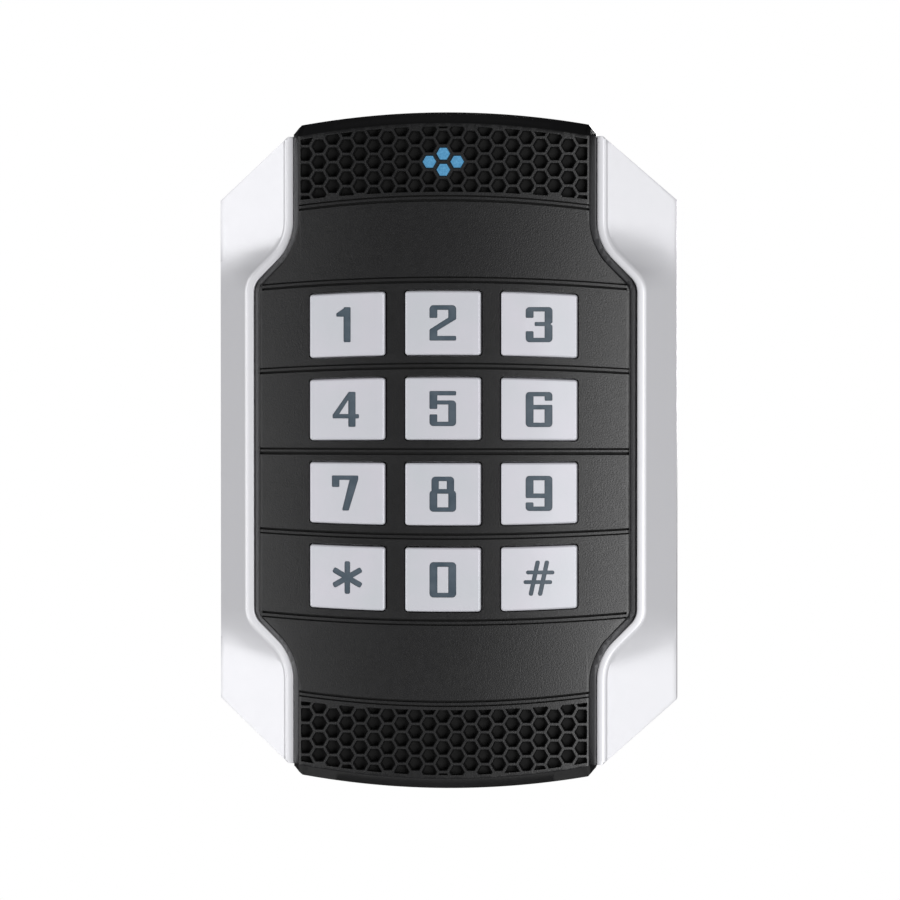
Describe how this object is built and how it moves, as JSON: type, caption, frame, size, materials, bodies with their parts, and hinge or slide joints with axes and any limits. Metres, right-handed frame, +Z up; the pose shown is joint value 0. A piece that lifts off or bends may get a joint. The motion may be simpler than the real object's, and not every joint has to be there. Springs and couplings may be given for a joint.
{
  "type": "keypad access reader",
  "caption": "Wall-mounted keypad access reader: curved black front panel with silver keys, honeycomb bands, a blue status window and two silver side wings.",
  "frame": {"origin": "centre of the wall plate's screw pattern, on the wall plane", "axes": "+Y into the wall, front faces -Y, +Z up, +X to the right seen from the front"},
  "size_m": [0.0934, 0.0242, 0.137],
  "materials": {
    "panel_plastic": "textured",
    "wing_metal": "satin",
    "case_plastic": "textured",
    "key_plastic": "satin",
    "inlay_smoke": "gloss",
    "lens_blue": "gloss",
    "seal_rubber": "matte",
    "mat_silicone": "matte",
    "plate_steel": "zinc plated",
    "screw_steel": "satin",
    "spring_steel": "satin",
    "board_laminate": "satin",
    "coil_copper": "satin",
    "chip_resin": "matte",
    "small_ceramic": "matte",
    "lamp_resin": "gloss",
    "header_plastic": "satin",
    "can_aluminium": "satin",
    "switch_red": "satin",
    "slider_plastic": "satin"
  },
  "bodies": {
    "housing": {"front_panel": "panel_plastic", "wing_left": "wing_metal", "wing_right": "wing_metal", "rear_case": "case_plastic", "case_seal": "seal_rubber", "cable_grommet": "seal_rubber", "wall_plate": "plate_steel", "security_screw": "screw_steel", "case_screws": "screw_steel", "wing_screws": "screw_steel", "board_screws": "screw_steel", "main_board": "board_laminate", "keypad_mat": "mat_silicone", "backlight_lamps": "lamp_resin", "status_lamps": "lamp_resin", "status_lens": "lens_blue", "antenna_coil": "coil_copper", "control_chip": "chip_resin", "card_reader_chip": "chip_resin", "buzzer": "chip_resin", "harness_header": "header_plastic", "capacitors": "can_aluminium", "small_parts": "small_ceramic", "dip_body": "switch_red", "dip_seal": "seal_rubber", "tamper_switch": "chip_resin", "tamper_spring": "spring_steel"},
    "key_1": {"key_1_cap": "key_plastic", "key_1_inlay": "inlay_smoke"},
    "key_2": {"key_2_cap": "key_plastic", "key_2_inlay": "inlay_smoke"},
    "key_3": {"key_3_cap": "key_plastic", "key_3_inlay": "inlay_smoke"},
    "key_4": {"key_4_cap": "key_plastic", "key_4_inlay": "inlay_smoke"},
    "key_5": {"key_5_cap": "key_plastic", "key_5_inlay": "inlay_smoke"},
    "key_6": {"key_6_cap": "key_plastic", "key_6_inlay": "inlay_smoke"},
    "key_7": {"key_7_cap": "key_plastic", "key_7_inlay": "inlay_smoke"},
    "key_8": {"key_8_cap": "key_plastic", "key_8_inlay": "inlay_smoke"},
    "key_9": {"key_9_cap": "key_plastic", "key_9_inlay": "inlay_smoke"},
    "key_star": {"key_star_cap": "key_plastic", "key_star_inlay": "inlay_smoke"},
    "key_0": {"key_0_cap": "key_plastic", "key_0_inlay": "inlay_smoke"},
    "key_hash": {"key_hash_cap": "key_plastic", "key_hash_inlay": "inlay_smoke"},
    "dip_slider_1": {"dip_slider_1": "slider_plastic"},
    "dip_slider_2": {"dip_slider_2": "slider_plastic"},
    "dip_slider_3": {"dip_slider_3": "slider_plastic"},
    "dip_slider_4": {"dip_slider_4": "slider_plastic"},
    "dip_slider_5": {"dip_slider_5": "slider_plastic"},
    "dip_slider_6": {"dip_slider_6": "slider_plastic"},
    "dip_slider_7": {"dip_slider_7": "slider_plastic"},
    "dip_slider_8": {"dip_slider_8": "slider_plastic"},
    "tamper_plunger": {"tamper_plunger": "slider_plastic"}
  },
  "joints": [
    {"name": "key_1_press", "type": "slide", "parent": "housing", "child": "key_1", "axis": [0, 1, 0], "range_m": [0, 0.001], "stiffness_N_per_m": 1200, "deforming": ["keypad_mat"]},
    {"name": "key_2_press", "type": "slide", "parent": "housing", "child": "key_2", "axis": [0, 1, 0], "range_m": [0, 0.001], "stiffness_N_per_m": 1200, "deforming": ["keypad_mat"]},
    {"name": "key_3_press", "type": "slide", "parent": "housing", "child": "key_3", "axis": [0, 1, 0], "range_m": [0, 0.001], "stiffness_N_per_m": 1200, "deforming": ["keypad_mat"]},
    {"name": "key_4_press", "type": "slide", "parent": "housing", "child": "key_4", "axis": [0, 1, 0], "range_m": [0, 0.001], "stiffness_N_per_m": 1200, "deforming": ["keypad_mat"]},
    {"name": "key_5_press", "type": "slide", "parent": "housing", "child": "key_5", "axis": [0, 1, 0], "range_m": [0, 0.001], "stiffness_N_per_m": 1200, "deforming": ["keypad_mat"]},
    {"name": "key_6_press", "type": "slide", "parent": "housing", "child": "key_6", "axis": [0, 1, 0], "range_m": [0, 0.001], "stiffness_N_per_m": 1200, "deforming": ["keypad_mat"]},
    {"name": "key_7_press", "type": "slide", "parent": "housing", "child": "key_7", "axis": [0, 1, 0], "range_m": [0, 0.001], "stiffness_N_per_m": 1200, "deforming": ["keypad_mat"]},
    {"name": "key_8_press", "type": "slide", "parent": "housing", "child": "key_8", "axis": [0, 1, 0], "range_m": [0, 0.001], "stiffness_N_per_m": 1200, "deforming": ["keypad_mat"]},
    {"name": "key_9_press", "type": "slide", "parent": "housing", "child": "key_9", "axis": [0, 1, 0], "range_m": [0, 0.001], "stiffness_N_per_m": 1200, "deforming": ["keypad_mat"]},
    {"name": "key_star_press", "type": "slide", "parent": "housing", "child": "key_star", "axis": [0, 1, 0], "range_m": [0, 0.001], "stiffness_N_per_m": 1200, "deforming": ["keypad_mat"]},
    {"name": "key_0_press", "type": "slide", "parent": "housing", "child": "key_0", "axis": [0, 1, 0], "range_m": [0, 0.001], "stiffness_N_per_m": 1200, "deforming": ["keypad_mat"]},
    {"name": "key_hash_press", "type": "slide", "parent": "housing", "child": "key_hash", "axis": [0, 1, 0], "range_m": [0, 0.001], "stiffness_N_per_m": 1200, "deforming": ["keypad_mat"]},
    {"name": "dip_1_slide", "type": "slide", "parent": "housing", "child": "dip_slider_1", "axis": [0, 0, 1], "range_m": [0, 0.0013]},
    {"name": "dip_2_slide", "type": "slide", "parent": "housing", "child": "dip_slider_2", "axis": [0, 0, 1], "range_m": [0, 0.0013]},
    {"name": "dip_3_slide", "type": "slide", "parent": "housing", "child": "dip_slider_3", "axis": [0, 0, 1], "range_m": [0, 0.0013]},
    {"name": "dip_4_slide", "type": "slide", "parent": "housing", "child": "dip_slider_4", "axis": [0, 0, 1], "range_m": [0, 0.0013]},
    {"name": "dip_5_slide", "type": "slide", "parent": "housing", "child": "dip_slider_5", "axis": [0, 0, 1], "range_m": [0, 0.0013]},
    {"name": "dip_6_slide", "type": "slide", "parent": "housing", "child": "dip_slider_6", "axis": [0, 0, 1], "range_m": [0, 0.0013]},
    {"name": "dip_7_slide", "type": "slide", "parent": "housing", "child": "dip_slider_7", "axis": [0, 0, 1], "range_m": [0, 0.0013]},
    {"name": "dip_8_slide", "type": "slide", "parent": "housing", "child": "dip_slider_8", "axis": [0, 0, 1], "range_m": [0, 0.0013]},
    {"name": "tamper_press", "type": "slide", "parent": "housing", "child": "tamper_plunger", "axis": [0, -1, 0], "range_m": [0, 0.0006], "stiffness_N_per_m": 600, "deforming": ["tamper_spring"]}
  ]
}
